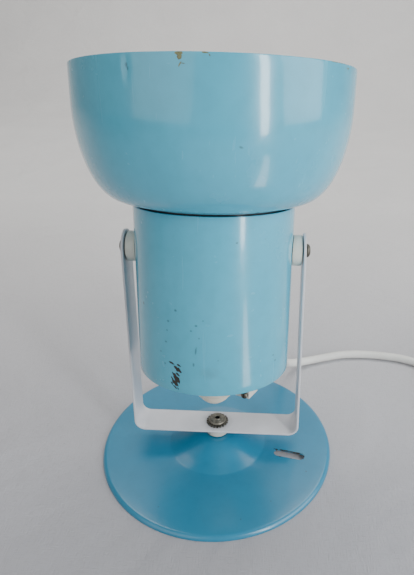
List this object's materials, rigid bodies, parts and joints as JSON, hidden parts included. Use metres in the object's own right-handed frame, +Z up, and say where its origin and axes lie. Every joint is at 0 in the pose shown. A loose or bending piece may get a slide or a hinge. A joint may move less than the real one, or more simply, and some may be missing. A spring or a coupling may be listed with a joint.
{
  "type": "adjustable spot lamp",
  "caption": "Adjustable spot lamp: a bowl-fronted cylindrical head tilts in a bent strap yoke that swivels on a round foot, with a mains lead and plug.",
  "frame": {"origin": "on the swivel axis, at the plane the foot's rim rests on", "axes": "+Z up along the swivel axis, +X along the strap towards the lamp's right arm, seen from the front (-Y); the head leans towards +Y"},
  "size_m": [0.3811, 0.2061, 0.2567],
  "materials": {
    "foot_paint": "gloss enamel, darker blue, fine scratches",
    "shade_paint": "gloss enamel, light blue, worn along the rim",
    "yoke_paint": "satin white enamel",
    "zinc_steel": "dull zinc plate",
    "cream_plastic": "cream moulding, satin",
    "holder_plastic": "ivory moulding, gloss",
    "brass_parts": "stamped, dull",
    "bulb_glass": "frosted",
    "cord_sheath": "white flexible sheath, satin",
    "core_brown": "insulation",
    "core_blue": "insulation"
  },
  "bodies": {
    "base": {"base_plate": "foot_paint", "base_washer": "zinc_steel", "base_nut": "zinc_steel", "base_spacer": "cream_plastic", "tooth_washer": "zinc_steel", "pan_screw": "zinc_steel"},
    "yoke": {"yoke": "yoke_paint", "cord_flex": "cord_sheath", "cord_coil": "cord_sheath", "cord_tail": "cord_sheath", "plug_body": "cord_sheath", "plug_pin_a": "brass_parts", "plug_pin_b": "brass_parts"},
    "head": {"cylinder_housing": "shade_paint", "bowl_shade": "shade_paint", "bottom_plate": "shade_paint", "tilt_spacer_left": "cream_plastic", "tilt_spacer_right": "cream_plastic", "tilt_screw_left": "zinc_steel", "tilt_screw_right": "zinc_steel", "tilt_washer_left": "zinc_steel", "tilt_washer_right": "zinc_steel", "tilt_nut_left": "zinc_steel", "tilt_nut_right": "zinc_steel", "holder_cap": "cream_plastic", "holder_base": "holder_plastic", "holder_body": "holder_plastic", "holder_ring": "holder_plastic", "screw_sleeve": "brass_parts", "centre_contact": "brass_parts", "bulb_cap": "zinc_steel", "bulb_glass": "bulb_glass", "cord_clamp": "cream_plastic", "clamp_screw": "zinc_steel", "core_brown": "core_brown", "core_blue": "core_blue"}
  },
  "joints": [
    {"name": "pan_swivel", "type": "hinge", "parent": "base", "child": "yoke", "pos_m": [0, 0, 0.019], "axis": [0, 0, 1], "range_deg": [-175, 175]},
    {"name": "head_tilt", "type": "hinge", "parent": "yoke", "child": "head", "pos_m": [0, 0, 0.1507], "axis": [1, 0, 0], "range_deg": [-100.9, 119.1], "deforming": ["cord_flex"]}
  ]
}
